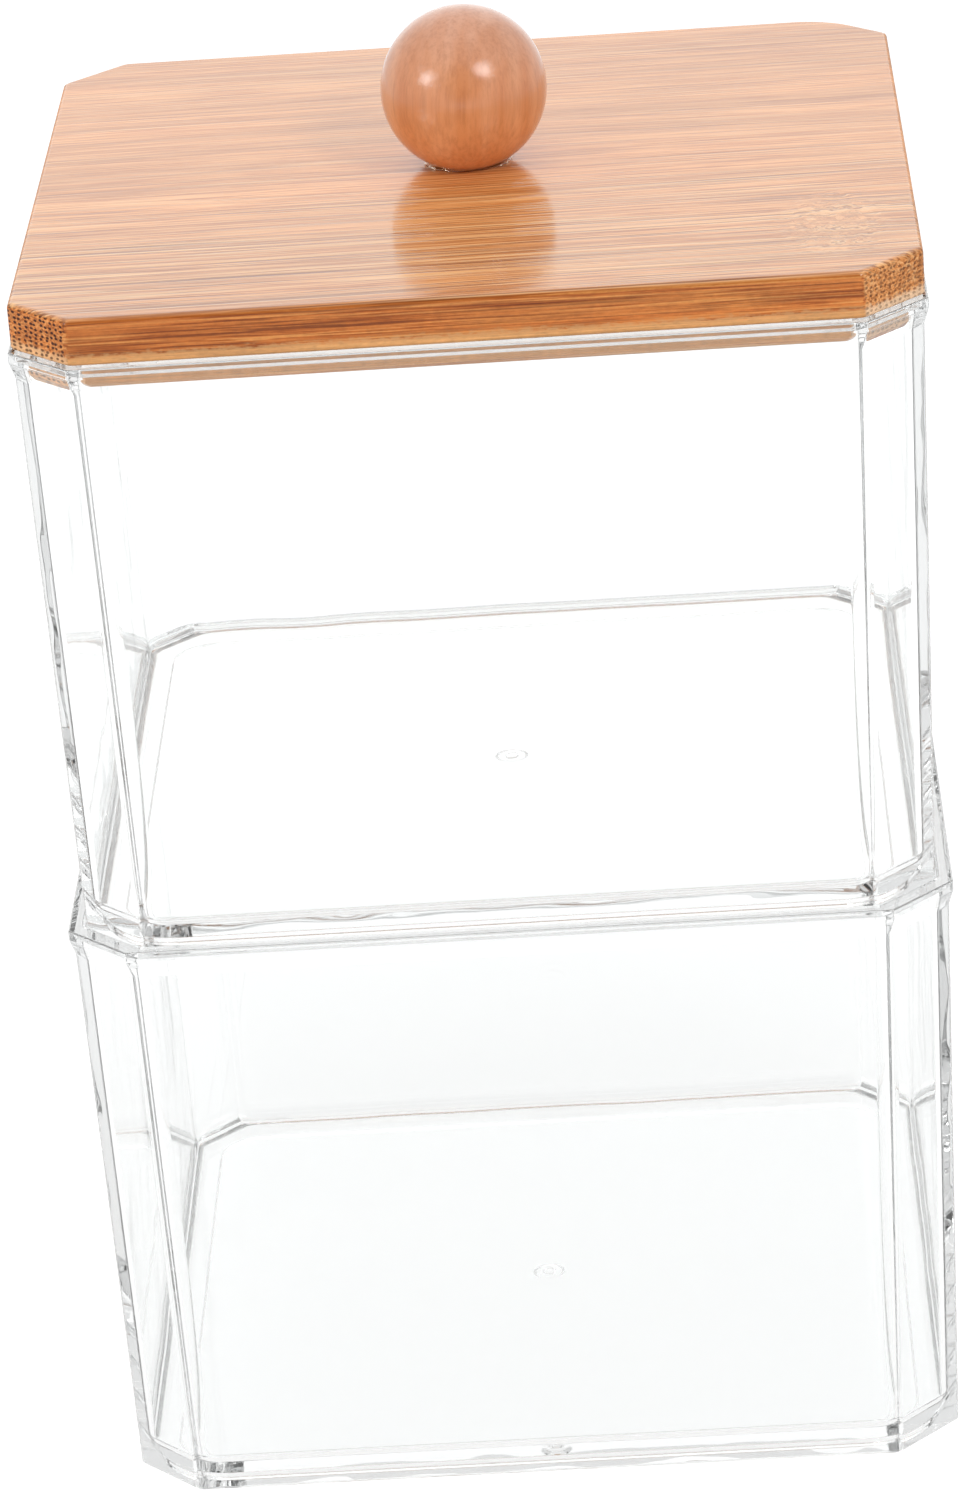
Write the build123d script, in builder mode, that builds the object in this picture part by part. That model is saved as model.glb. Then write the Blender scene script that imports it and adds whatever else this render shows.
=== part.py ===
from build123d import *
from math import atan, degrees, radians, sqrt, tan
import os

# Stacked pair of clear open boxes with a lift-off wooden lid and a ball knob.
# Millimetres, +Z up, origin at the centre of the face the lower box stands on,
# -Y is the front that faces the user.

# ---- clear boxes, both from one mould ----
rim_width = 95.0          # outside, across the lip, left to right
rim_depth = 93.0          # outside, across the lip, front to back
box_height = 67.0         # one box, underside to rim
corner_cut = 6.6          # leg of the 45 degree corner, measured at the lip
wall_draft = 1.2          # degrees each wall leans in towards the base
wall = 2.2                # side wall, measured square to X or Y
floor_thick = 2.5
floor_round = 3.0         # inside radius where walls meet floor
base_edge_cut = 0.4       # bevel round the underside
corner_round = 0.8        # outside radius of the upright corner edges
lip_out = 0.45            # how far the lip stands out from the wall
lip_height = 1.1          # upright part of the lip
lip_taper = 1.9           # sloping part below it
seat_depth = 1.2          # rebate inside the mouth that the next box stands in
seat_fit = 0.35           # gap on each side round a box standing in the rebate

# ---- underside of each box ----
recess_depth = 0.5        # hollow that leaves a narrow standing border
recess_border = 5.2
recess_corner = 5.0
dimple_diameter = 3.6     # shallow dish that keeps the gate stub off the table
dimple_depth = 0.35
gate_diameter = 1.4
gate_height = 0.25

# ---- bamboo lid ----
lid_inset_x = 0.3         # board short of the lip on each side
lid_inset_y = 1.2         # board short of the lip front and back
board_cut = 6.4           # leg of the board's 45 degree corner
board_thick = 5.0
board_corner_round = 1.2  # upright edges between side and cut corner
board_soft_round = 9.0    # the one upright edge sanded rounder, rear right, where the rear side ends
board_top_round = 0.6
board_low_round = 0.35
plug_height = 2.4         # step that drops into the mouth
plug_fit = 0.5            # gap on each side between the step and the box wall
plug_edge_cut = 0.5

# ---- ball knob, its screw and its glue ----
ball_diameter = 18.0
foot_diameter = 7.2       # flat sawn on the ball where it stands on the lid
screw_diameter = 3.0
screw_length = 16.0
screw_head_diameter = 6.0
screw_tip = 2.2
hole_fit = 0.1            # on radius, round the screw in the board
pilot_fit = 0.05          # on radius, round the screw in the ball
head_sink = 0.3           # screw head below the underside of the step
recess_arm = 3.0          # cross recess, tip to tip
recess_slot = 0.8
recess_deep = 1.2
bead_reach = 1.4          # how far the clear glue creeps out over the board
bead_rise = 0.75

# ---- sizes that follow from the ones above ----
wall_top_width = rim_width - 2 * lip_out
wall_top_depth = rim_depth - 2 * lip_out
cut_shrink = 2 - sqrt(2)  # a cut corner's leg shortens by this for each mm of inward offset
corner_draft = degrees(atan(sqrt(2) * tan(radians(wall_draft))))
base_in = box_height * tan(radians(wall_draft))
base_width = wall_top_width - 2 * base_in
base_depth = wall_top_depth - 2 * base_in
seat_in = (rim_width - base_width) / 2 - seat_fit
stack_step = box_height - seat_depth
upper_base = stack_step
upper_rim = stack_step + box_height
board_top = upper_rim + board_thick
foot_rise = sqrt((ball_diameter / 2) ** 2 - (foot_diameter / 2) ** 2)
ball_centre = board_top + foot_rise
screw_start = upper_rim - plug_height + head_sink
head_height = (screw_head_diameter - screw_diameter) / 2
pilot_depth = screw_start + screw_length - board_top + 0.5

os.makedirs("parts", exist_ok=True)


def cut_rectangle(inset, cut):
    """Rim outline moved in by the inset, its corners cut at 45 degrees."""
    rectangle = Rectangle(rim_width - 2 * inset, rim_depth - 2 * inset)
    chamfer(rectangle.vertices(), cut)


def upright_edges(part, low, high):
    """Edges that climb from below one height to above another."""
    found = []
    for edge in part.edges():
        box = edge.bounding_box()
        if box.min.Z < low and box.max.Z > high:
            found.append(edge)
    return found


def lean_walls(part, rim_height):
    """Lean the upright faces in towards the base, about the rim, where the outline stays as drawn.

    The cut corners lean more, so that each keeps its width all the way down.
    """
    rim_plane = Plane.XY.offset(rim_height)
    for slanted in (False, True):
        chosen = []
        for face in part.faces():
            normal = face.normal_at()
            square_on = max(abs(normal.X), abs(normal.Y)) > 0.9
            if abs(normal.Z) < 0.001 and square_on != slanted:
                chosen.append(face)
        draft(chosen, rim_plane, -corner_draft if slanted else -wall_draft)


def open_box(base_height):
    """One moulded box standing with its underside at the given height."""
    rim_height = base_height + box_height
    lip_low = rim_height - lip_height
    lip_foot = lip_low - lip_taper
    with BuildPart() as body:
        # drafted block, drawn at the rim and narrowing downwards
        with BuildSketch(Plane.XY.offset(rim_height)):
            cut_rectangle(lip_out, corner_cut)
        extrude(amount=-box_height)
        lean_walls(body, rim_height)
        fillet(upright_edges(body, base_height + 1, rim_height - 1), corner_round)
        chamfer(body.faces().sort_by(Axis.Z)[0].edges(), base_edge_cut)
        # lip: a short upright band over a slope that dies into the wall
        with BuildSketch(Plane.XY.offset(lip_foot)):
            cut_rectangle(lip_out + (lip_height + lip_taper) * tan(radians(wall_draft)), corner_cut)
        with BuildSketch(Plane.XY.offset(lip_low)):
            cut_rectangle(0, corner_cut)
        loft()
        with BuildSketch(Plane.XY.offset(lip_low)):
            cut_rectangle(0, corner_cut)
        extrude(amount=lip_height)
    with BuildPart() as cavity:
        # the core that leaves the inside, rounded where walls meet floor
        with BuildSketch(Plane.XY.offset(rim_height)):
            cut_rectangle(lip_out + wall, corner_cut - cut_shrink * wall)
        extrude(amount=floor_thick - box_height)
        lean_walls(cavity, rim_height)
        fillet(cavity.faces().sort_by(Axis.Z)[0].edges(), floor_round)
    with BuildPart() as box:
        add(body.part)
        add(cavity.part, mode=Mode.SUBTRACT)
        # rebate in the mouth for the box above
        with BuildSketch(Plane.XY.offset(rim_height)):
            cut_rectangle(seat_in, corner_cut - cut_shrink * seat_fit)
        extrude(amount=-seat_depth, mode=Mode.SUBTRACT)
        # underside: hollow middle, dish and gate stub
        with BuildSketch(Plane.XY.offset(base_height)):
            RectangleRounded(base_width - 2 * recess_border, base_depth - 2 * recess_border, recess_corner)
        extrude(amount=recess_depth, mode=Mode.SUBTRACT)
        with BuildSketch(Plane.XY.offset(base_height + recess_depth)):
            Circle(dimple_diameter / 2)
        extrude(amount=dimple_depth, taper=30, mode=Mode.SUBTRACT)
        with BuildSketch(Plane.XY.offset(base_height + recess_depth + dimple_depth)):
            Circle(gate_diameter / 2)
        extrude(amount=-gate_height)
    return box.part


lower_box = open_box(0)
lower_box.label = "lower_box"

upper_box = open_box(upper_base)
upper_box.label = "upper_box"


def rear_right(edges):
    """The edge furthest to the rear, and of those the one furthest to the right."""
    return edges.group_by(Axis.Y)[-1].sort_by(Axis.X)[-1]


# ---- lid: board with the step routed round its underside ----
plug_inset = lip_out + wall + plug_fit
plug_cut = corner_cut - cut_shrink * (wall + plug_fit)
with BuildPart() as lid_board:
    with BuildSketch(Plane.XY.offset(upper_rim)):
        lid_outline = Rectangle(rim_width - 2 * lid_inset_x, rim_depth - 2 * lid_inset_y)
        chamfer(lid_outline.vertices(), board_cut)
    extrude(amount=board_thick)
    upright = lid_board.edges().filter_by(Axis.Z)
    soft_edge = rear_right(upright)
    fillet([edge for edge in upright if edge is not soft_edge], board_corner_round)
    fillet(rear_right(lid_board.edges().filter_by(Axis.Z)), board_soft_round)
    fillet(lid_board.faces().sort_by(Axis.Z)[-1].edges(), board_top_round)
    fillet(lid_board.faces().sort_by(Axis.Z)[0].edges(), board_low_round)
    with BuildSketch(Plane.XY.offset(upper_rim)):
        cut_rectangle(plug_inset, plug_cut)
    extrude(amount=-plug_height)
    chamfer(lid_board.faces().sort_by(Axis.Z)[0].edges(), plug_edge_cut)
    # countersunk hole for the knob's screw
    with BuildSketch(Plane.XY.offset(upper_rim - plug_height)):
        Circle(screw_diameter / 2 + hole_fit)
    extrude(amount=board_thick + plug_height, mode=Mode.SUBTRACT)
    with BuildSketch(Plane.XZ):
        with BuildLine():
            Polyline(
                (0, upper_rim - plug_height),
                (screw_head_diameter / 2 + hole_fit, upper_rim - plug_height),
                (screw_head_diameter / 2 + hole_fit, screw_start + hole_fit),
                (screw_diameter / 2 + hole_fit, screw_start + head_height + hole_fit),
                (0, screw_start + head_height + hole_fit),
                close=True,
            )
        make_face()
    revolve(axis=Axis.Z, mode=Mode.SUBTRACT)
lid_board.part.label = "lid_board"


# ---- ball knob with a flat foot and a blind pilot hole ----
with BuildPart() as knob:
    with Locations((0, 0, ball_centre)):
        Sphere(ball_diameter / 2)
    split(bisect_by=Plane.XY.offset(board_top), keep=Keep.TOP)
    with BuildSketch(Plane.XY.offset(board_top)):
        Circle(screw_diameter / 2 + pilot_fit)
    extrude(amount=pilot_depth, mode=Mode.SUBTRACT)
knob.part.label = "knob"


# ---- countersunk screw, driven up from below ----
with BuildPart() as knob_screw:
    with BuildSketch(Plane.XZ):
        with BuildLine():
            Polyline(
                (0, screw_start),
                (screw_head_diameter / 2, screw_start),
                (screw_diameter / 2, screw_start + head_height),
                (screw_diameter / 2, screw_start + screw_length - screw_tip),
                (0.2, screw_start + screw_length),
                (0, screw_start + screw_length),
                close=True,
            )
        make_face()
    revolve(axis=Axis.Z)
    for turn in (0, 90):
        with BuildSketch(Plane.XY.offset(screw_start)):
            Rectangle(recess_arm, recess_slot, rotation=turn)
        extrude(amount=recess_deep, taper=20, mode=Mode.SUBTRACT)
knob_screw.part.label = "knob_screw"


# ---- clear glue squeezed out round the foot of the knob ----
with BuildPart() as glue_bead:
    with BuildSketch(Plane.XZ):
        with BuildLine():
            Polyline((foot_diameter / 2 - 0.4, board_top), (foot_diameter / 2 + bead_reach, board_top))
            RadiusArc(
                (foot_diameter / 2 + bead_reach, board_top),
                (foot_diameter / 2 + 0.55 * bead_reach, board_top + bead_rise),
                -1.4,
            )
            Line(
                (foot_diameter / 2 + 0.55 * bead_reach, board_top + bead_rise),
                (foot_diameter / 2 - 0.4, board_top),
            )
        make_face()
    revolve(axis=Axis.Z)
    with Locations((0, 0, ball_centre)):
        Sphere(ball_diameter / 2, mode=Mode.SUBTRACT)
    with BuildSketch(Plane.XY.offset(board_top)):
        Circle(foot_diameter / 2)
    extrude(amount=0.5, mode=Mode.SUBTRACT)
glue_bead.part.label = "glue_bead"


export_step(lower_box, "parts/lower_box.step")
export_step(upper_box, "parts/upper_box.step")
export_step(lid_board.part, "parts/lid_board.step")
export_step(knob.part, "parts/knob.step")
export_step(knob_screw.part, "parts/knob_screw.step")
export_step(glue_bead.part, "parts/glue_bead.step")
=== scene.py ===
from math import acos, cos, hypot, pi, radians, sin, sqrt, tan

import bmesh
import bpy
from mathutils import Matrix, Vector


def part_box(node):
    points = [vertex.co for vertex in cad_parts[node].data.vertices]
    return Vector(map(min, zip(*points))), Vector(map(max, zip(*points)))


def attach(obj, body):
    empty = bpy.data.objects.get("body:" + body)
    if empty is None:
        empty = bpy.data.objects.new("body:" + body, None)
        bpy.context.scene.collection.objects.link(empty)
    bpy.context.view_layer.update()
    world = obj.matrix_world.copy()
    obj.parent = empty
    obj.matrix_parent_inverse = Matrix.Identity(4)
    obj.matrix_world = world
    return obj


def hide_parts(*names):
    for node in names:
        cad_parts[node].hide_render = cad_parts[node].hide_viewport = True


# Two clear moulded boxes that stack, a bamboo lid and a turned ball knob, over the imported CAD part.
# Everything is in metres in the part's own frame: +Z up, -Y is the front, the lower box stands on Z = 0.

bl_info = {
    "name": "Stacking pad holder",
    "version": (1, 0, 0),
    "blender": (4, 5, 0),
    "location": "3D Viewport > Sidebar > Pad Holder",
    "description": "Clear stacking boxes with a bamboo lid and a turned ball knob",
    "category": "Object",
}

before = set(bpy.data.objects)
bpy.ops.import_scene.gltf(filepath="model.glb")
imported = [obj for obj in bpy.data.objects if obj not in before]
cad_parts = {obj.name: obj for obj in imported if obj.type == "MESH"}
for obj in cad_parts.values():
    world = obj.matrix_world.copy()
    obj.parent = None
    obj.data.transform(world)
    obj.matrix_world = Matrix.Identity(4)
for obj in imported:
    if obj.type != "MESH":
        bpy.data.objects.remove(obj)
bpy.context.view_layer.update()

MM = 0.001
ROUND_CUT = 2 - sqrt(2)  # a cut of this many radii turns the cut corner into a plain round one
SEAT_GAP = 0.012 * MM    # air left between two pieces that rest on each other
UPRIGHT_EDGES = 8        # a rectangle with cut corners has eight upright edges
EDGE_TURN = 2 * pi / UPRIGHT_EDGES

# kinds of node that come often
MATH = "ShaderNodeMath"
VECTOR = "ShaderNodeVectorMath"
RANGE = "ShaderNodeMapRange"
MIX = "ShaderNodeMix"
NOISE = "ShaderNodeTexNoise"
MAPPING = "ShaderNodeMapping"
SPLIT = "ShaderNodeSeparateXYZ"
JOIN = "ShaderNodeCombineXYZ"
BUMP = "ShaderNodeBump"
PLACE = "ShaderNodeTexCoord"
RAYS = "ShaderNodeLightPath"
PRINCIPLED = "ShaderNodeBsdfPrincipled"
SURFACE = "ShaderNodeOutputMaterial"

# a Mix node's sockets for numbers and for colours
NUMBER_A, NUMBER_B = 2, 3
COLOUR_A, COLOUR_B = 6, 7


def low(node, axis):
    return round(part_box(node)[0][axis], 6)


def high(node, axis):
    return round(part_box(node)[1][axis], 6)


def span(node, axis):
    return high(node, axis) - low(node, axis)


def linear(code):
    """sRGB hex such as '#BC8550' as the linear colour that shaders take."""
    parts = [int(code[i : i + 2], 16) / 255 for i in (1, 3, 5)]
    return [c / 12.92 if c <= 0.04045 else ((c + 0.055) / 1.055) ** 2.4 for c in parts]


# ---------------------------------------------------------------------------------------------------------
# Sizes and colours that a user would change
# ---------------------------------------------------------------------------------------------------------


def length(name, description, default):
    return bpy.props.FloatProperty(
        name=name, description=description, default=default, min=0, precision=5, unit="LENGTH"
    )


def colour(name, description, code):
    return bpy.props.FloatVectorProperty(
        name=name, description=description, default=linear(code), size=3, min=0, max=1, subtype="COLOR"
    )


class BoxSizes(bpy.types.PropertyGroup):
    """One moulded box; both boxes come from the same mould."""

    rim_width: length("Rim width", "Outside, across the lip, left to right", span("lower_box", 0))
    rim_depth: length("Rim depth", "Outside, across the lip, front to back", span("lower_box", 1))
    tall: length("Height", "Underside to rim", span("lower_box", 2))
    corner_cut: length("Corner cut", "Leg of the 45 degree corner", 6.6 * MM)
    draft: bpy.props.FloatProperty(
        name="Draft",
        description="How far each wall leans in towards the base",
        default=radians(1.2),
        subtype="ANGLE",
    )
    wall: length("Wall", "Side wall thickness", 2.2 * MM)
    floor_thick: length("Floor", "Floor thickness", 2.5 * MM)
    floor_round: length("Floor radius", "Inside radius where walls meet floor", 1.5 * MM)
    outer_round: length("Outer edge radius", "Outside radius of the upright corner edges", 0.8 * MM)
    inner_round: length("Inner edge radius", "Inside radius of the upright edges at the rim", 2.0 * MM)
    inner_low_round: length("Inner low radius", "The same where those edges reach the floor", 2.6 * MM)
    base_cut: length("Base edge", "Bevel round the underside", 0.4 * MM)
    lip_out: length("Lip", "How far the lip stands out", 0.45 * MM)
    lip_tall: length("Lip height", "Upright part of the lip", 1.1 * MM)
    lip_taper: length("Lip taper", "Sloping part below the lip", 1.9 * MM)
    seat_depth: length("Seat depth", "Rebate in the mouth for the next box", 1.2 * MM)
    seat_fit: length("Seat fit", "Gap on each side round a box in the rebate", 0.35 * MM)
    recess_border: length("Foot border", "Width of the border that the box stands on", 5.2 * MM)
    recess_deep: length("Recess", "Depth of the hollow inside that border", 0.5 * MM)
    recess_corner: length("Recess corner", "Corner radius of the hollow", 5.0 * MM)
    dimple: length("Dimple", "Diameter of the dish round the gate stub", 3.6 * MM)
    dimple_deep: length("Dimple depth", "Depth of that dish", 0.35 * MM)
    gate: length("Gate", "Diameter of the gate stub", 1.4 * MM)
    gate_tall: length("Gate height", "Height of the gate stub", 0.25 * MM)
    plastic: colour("Plastic", "Tint of the clear plastic", "#FDFEFE")
    absorption: bpy.props.FloatProperty(
        name="Absorption",
        description="How fast light fades inside the plastic, per metre",
        default=2.4,
        min=0,
    )


class LidSizes(bpy.types.PropertyGroup):
    """The board and the step routed round its underside."""

    half_x: length("Half width", "Board, centre to side", 47.2 * MM)
    half_y: length("Half depth", "Board, centre to front", 45.3 * MM)
    board_cut: length("Corner cut", "Leg of the board's 45 degree corner", 6.4 * MM)
    board_thick: length("Thickness", "Board thickness", 5.0 * MM)
    edge_round: length("Upright edge radius", "Between side and cut corner", 1.2 * MM)
    soft_round: length("Soft edge radius", "The one upright edge, rear right, sanded rounder", 9.0 * MM)
    top_round: length("Top edge radius", "Sanded edge round the top", 0.6 * MM)
    low_round: length("Lower edge radius", "Sanded edge round the underside", 0.35 * MM)
    plug_in: length("Step inset", "Rim outline to the step's side", 3.15 * MM)
    plug_edge: length("Step edge", "Bevel round the step", 0.5 * MM)
    hole: length("Screw hole", "Diameter through the board", 3.2 * MM)
    head_hole: length("Countersink", "Diameter under the screw head", 6.2 * MM)
    wood: colour("Bamboo", "Body colour between the fibres", "#C67A3B")
    fibre: colour("Pale fibre", "Colour of the pale strands", "#E4A163")
    bundle: colour("Dark bundle", "Colour of the dark strands", "#6E3A17")


class KnobSizes(bpy.types.PropertyGroup):
    """The ball, and the glue squeezed out round its foot."""

    ball: length("Ball", "Ball diameter", 18.0 * MM)
    foot: length("Foot", "Diameter of the flat foot", 7.2 * MM)
    bead_reach: length("Bead reach", "How far the glue creeps out", 1.4 * MM)
    bead_rise: length("Bead height", "How high the glue climbs", 0.75 * MM)
    wood: colour("Ball wood", "Body colour of the turned ball", "#D08754")
    vessel: colour("Vessel lines", "Colour of the fine dark lines", "#9C5A30")


class StageSettings(bpy.types.PropertyGroup):
    """Floor, light and camera."""

    floor_radius: length("Floor radius", "Half the width of the pale floor", 4.0)
    room: bpy.props.FloatProperty(
        name="Room light", description="Soft light from all round", default=0.8, min=0
    )
    lamp: bpy.props.FloatProperty(
        name="Soft box power", description="Power of each small soft box", default=2.6, min=0, unit="POWER"
    )


# ---------------------------------------------------------------------------------------------------------
# Node and mesh helpers
# ---------------------------------------------------------------------------------------------------------


def add(tree, kind, feeds=None, **settings):
    """Add a node, give it its settings, and feed its inputs with values or with other nodes' outputs.

    A node given as a feed stands for the first of its outputs that its settings leave in use.
    """
    node = tree.nodes.new(kind)
    for name, value in settings.items():
        setattr(node, name, value)
    for socket, value in (feeds or {}).items():
        if isinstance(value, bpy.types.Node):
            value = next(output for output in value.outputs if output.enabled)
        if isinstance(value, bpy.types.NodeSocket):
            tree.links.new(value, node.inputs[socket])
        else:
            node.inputs[socket].default_value = value
    return node


def new_shape_tree(name, inputs):
    """A geometry node tree with these named inputs and their kinds, and a mesh as its output."""
    tree = bpy.data.node_groups.new(name, "GeometryNodeTree")
    for socket, kind in inputs.items():
        tree.interface.new_socket(socket, in_out="INPUT", socket_type="NodeSocket" + kind)
    tree.interface.new_socket("Mesh", in_out="OUTPUT", socket_type="NodeSocketGeometry")
    return tree, add(tree, "NodeGroupInput").outputs


def finish_shape_tree(tree, shape, finish):
    """The usual end of a tree: real geometry that has its material."""
    real = add(tree, "GeometryNodeRealizeInstances", {0: shape})
    finished = add(tree, "GeometryNodeSetMaterial", {"Geometry": real, "Material": finish})
    add(tree, "NodeGroupOutput", {0: finished})


def sweep_tree():
    """Sweeps a profile round a rectangle with cut and rounded corners.

    Each profile point holds half the rectangle's width and depth there as X and Y, its height as Z, and
    the corner's cut and edge radius as attributes; the corner that Soft Corner counts takes its own radius.
    A cut of ROUND_CUT radii gives a plain round corner, and with equal X, Y and radius a circle, so the
    boxes, the lid and the ball all come from this tree.
    """
    weld = 0.0005 * MM  # joins the last column to the first, and the columns where a row has no width
    tree, given = new_shape_tree(
        "Sweep round cut corners",
        {
            "Profile": "Geometry",
            "Profile Points": "Int",
            "Edge Steps": "Int",
            "Crease Angle": "Float",
            "Soft Corner": "Int",
            "Finish": "Material",
        },
    )
    # a grid with one column for each step round the outline and one row for each point of the profile
    per_corner = add(tree, MATH, {0: given["Edge Steps"], 1: 1.0}, operation="ADD")
    around = add(tree, MATH, {0: per_corner, 1: float(UPRIGHT_EDGES)}, operation="MULTIPLY")
    columns = add(tree, MATH, {0: around, 1: 1.0}, operation="ADD")
    grid = add(
        tree, "GeometryNodeMeshGrid", {"Vertices X": columns, "Vertices Y": given["Profile Points"]}
    )
    index = add(tree, "GeometryNodeInputIndex")
    column = add(tree, MATH, {0: index, 1: given["Profile Points"]}, operation="DIVIDE")
    column = add(tree, MATH, {0: column}, operation="FLOOR")
    row = add(tree, MATH, {0: index, 1: given["Profile Points"]}, operation="MODULO")
    turn = add(tree, MATH, {0: column, 1: around}, operation="MODULO")
    corner = add(tree, MATH, {0: turn, 1: per_corner}, operation="DIVIDE")
    corner = add(tree, MATH, {0: corner}, operation="FLOOR")
    step = add(tree, MATH, {0: turn, 1: per_corner}, operation="MODULO")
    share = add(tree, MATH, {0: step, 1: given["Edge Steps"]}, operation="DIVIDE")

    # phi is the way that the outline faces, and the bisector the way of its corner's middle
    phi = add(tree, MATH, {0: corner, 1: share}, operation="ADD")
    phi = add(tree, MATH, {0: phi, 1: EDGE_TURN}, operation="MULTIPLY")
    bisector = add(tree, MATH, {0: corner, 1: 0.5}, operation="ADD")
    bisector = add(tree, MATH, {0: bisector, 1: EDGE_TURN}, operation="MULTIPLY")
    (phi_x, phi_y), (bis_x, bis_y) = [
        [add(tree, MATH, {0: angle}, operation=kind) for kind in ("COSINE", "SINE")]
        for angle in (phi, bisector)
    ]
    size_x, size_y = [add(tree, MATH, {0: way}, operation="ABSOLUTE") for way in (bis_x, bis_y)]
    on_side = add(tree, MATH, {0: size_x, 1: size_y}, operation="GREATER_THAN")
    on_front = add(tree, MATH, {0: 1.0, 1: on_side}, operation="SUBTRACT")

    # what the profile says at this row
    stored = [
        add(tree, "GeometryNodeInputNamedAttribute", {"Name": name}, data_type="FLOAT")
        for name in ("corner_cut", "edge_round", "soft_round")
    ]
    spot = add(tree, "GeometryNodeInputPosition")
    half, cut, crisp, soft = [
        add(
            tree, "GeometryNodeSampleIndex", {"Geometry": given["Profile"], "Value": value, "Index": row},
            data_type=kind, domain="POINT",
        )
        for kind, value in (("FLOAT_VECTOR", spot), *(("FLOAT", value) for value in stored))
    ]
    half = add(tree, SPLIT, {0: half}).outputs
    is_soft = add(tree, MATH, {0: corner, 1: given["Soft Corner"], 2: 0.1}, operation="COMPARE")
    radius = add(tree, MIX, {0: is_soft, NUMBER_A: crisp, NUMBER_B: soft}, data_type="FLOAT")

    placed = []
    for axis, bis, out, here in (("X", bis_x, phi_x, on_front), ("Y", bis_y, phi_y, on_side)):
        sign = add(tree, MATH, {0: bis}, operation="SIGN")
        shorter = add(tree, MATH, {0: cut, 1: here}, operation="MULTIPLY")
        reach = add(tree, MATH, {0: half[axis], 1: shorter}, operation="SUBTRACT")
        tip = add(tree, MATH, {0: reach, 1: sign}, operation="MULTIPLY")
        inwards = add(tree, MATH, {0: bis, 1: 1 / cos(EDGE_TURN / 2)}, operation="MULTIPLY")
        swing = add(tree, MATH, {0: out, 1: inwards}, operation="SUBTRACT")
        placed.append(add(tree, MATH, {0: radius, 1: swing, 2: tip}, operation="MULTIPLY_ADD"))
    landed = add(tree, JOIN, {0: placed[0], 1: placed[1], 2: half["Z"]})
    shaped = add(tree, "GeometryNodeSetPosition", {"Geometry": grid, "Position": landed})
    closed = add(tree, "GeometryNodeMergeByDistance", {"Geometry": shaped, "Distance": weld})
    smooth = add(tree, "GeometryNodeSetShadeSmooth", {"Geometry": closed}, domain="FACE")
    bend = add(tree, "GeometryNodeInputMeshEdgeAngle")
    sharp = add(tree, MATH, {0: bend, 1: given["Crease Angle"]}, operation="GREATER_THAN")
    creased = add(
        tree, "GeometryNodeSetShadeSmooth",
        {"Geometry": smooth, "Selection": sharp, "Shade Smooth": False},
        domain="EDGE",
    )
    finish_shape_tree(tree, creased, given["Finish"])
    return tree


def bead_tree():
    """A lumpy bead of glue laid along a circle. More of it was squeezed out at the left and the right."""
    steps_along, steps_round = 160, 14
    tree, given = new_shape_tree(
        "Glue bead on a circle",
        {
            "Path Radius": "Float",
            "Path Height": "Float",
            "Bead Radius": "Float",
            "Wander": "Float",
            "Lumps": "Float",
            "Side Lumps": "Float",
            "Seed": "Float",
            "Finish": "Material",
        },
    )
    path, section = [
        add(
            tree, "GeometryNodeCurvePrimitiveCircle", {"Resolution": steps, "Radius": given[radius]},
            mode="RADIUS",
        )
        for steps, radius in ((steps_along, "Path Radius"), (steps_round, "Bead Radius"))
    ]
    place = add(tree, "GeometryNodeInputPosition")
    # lumps about 2 mm apart round the foot
    lump = add(
        tree, NOISE, {"Vector": place, "W": given["Seed"], "Scale": 520.0, "Detail": 2.0},
        noise_dimensions="4D",
    )
    centred = add(tree, MATH, {0: lump, 1: 0.5}, operation="SUBTRACT")
    away = add(tree, VECTOR, {0: place}, operation="NORMALIZE")
    side = add(tree, MATH, {0: add(tree, SPLIT, {0: away})}, operation="ABSOLUTE")
    side = add(tree, MATH, {0: side, 1: 3.0}, operation="POWER")
    outwards = add(tree, MATH, {0: side, 1: 0.8, 2: centred}, operation="MULTIPLY_ADD")
    outwards = add(tree, MATH, {0: outwards, 1: given["Wander"]}, operation="MULTIPLY")
    shift = add(tree, VECTOR, {0: away, "Scale": outwards}, operation="SCALE")
    lift = add(tree, JOIN, {2: given["Path Height"]})
    shift = add(tree, VECTOR, {0: shift, 1: lift}, operation="ADD")
    moved = add(tree, "GeometryNodeSetPosition", {"Geometry": path, "Offset": shift})
    # half as thick as an even bead where nothing else was squeezed out, and nowhere under a fifth
    thick = add(tree, MATH, {0: centred, 1: given["Lumps"], 2: 0.5}, operation="MULTIPLY_ADD")
    thick = add(tree, MATH, {0: side, 1: given["Side Lumps"], 2: thick}, operation="MULTIPLY_ADD")
    thick = add(tree, MATH, {0: thick, 1: 0.2}, operation="MAXIMUM")
    # a bead is lower than it is wide, because it wets the board
    flat = add(tree, "GeometryNodeTransform", {"Geometry": section, "Scale": (1.0, 0.8, 1.0)})
    tube = add(tree, "GeometryNodeCurveToMesh", {"Curve": moved, "Profile Curve": flat, "Scale": thick})
    smooth = add(tree, "GeometryNodeSetShadeSmooth", {"Geometry": tube}, domain="FACE")
    finish_shape_tree(tree, smooth, given["Finish"])
    return tree


def profile_point(half_x, half_y, z, cut, edge, soft=None):
    return Vector((half_x, half_y, z, cut, edge, edge if soft is None else soft))


def circle_point(radius, z):
    return profile_point(radius, radius, z, ROUND_CUT * radius, radius)


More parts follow.
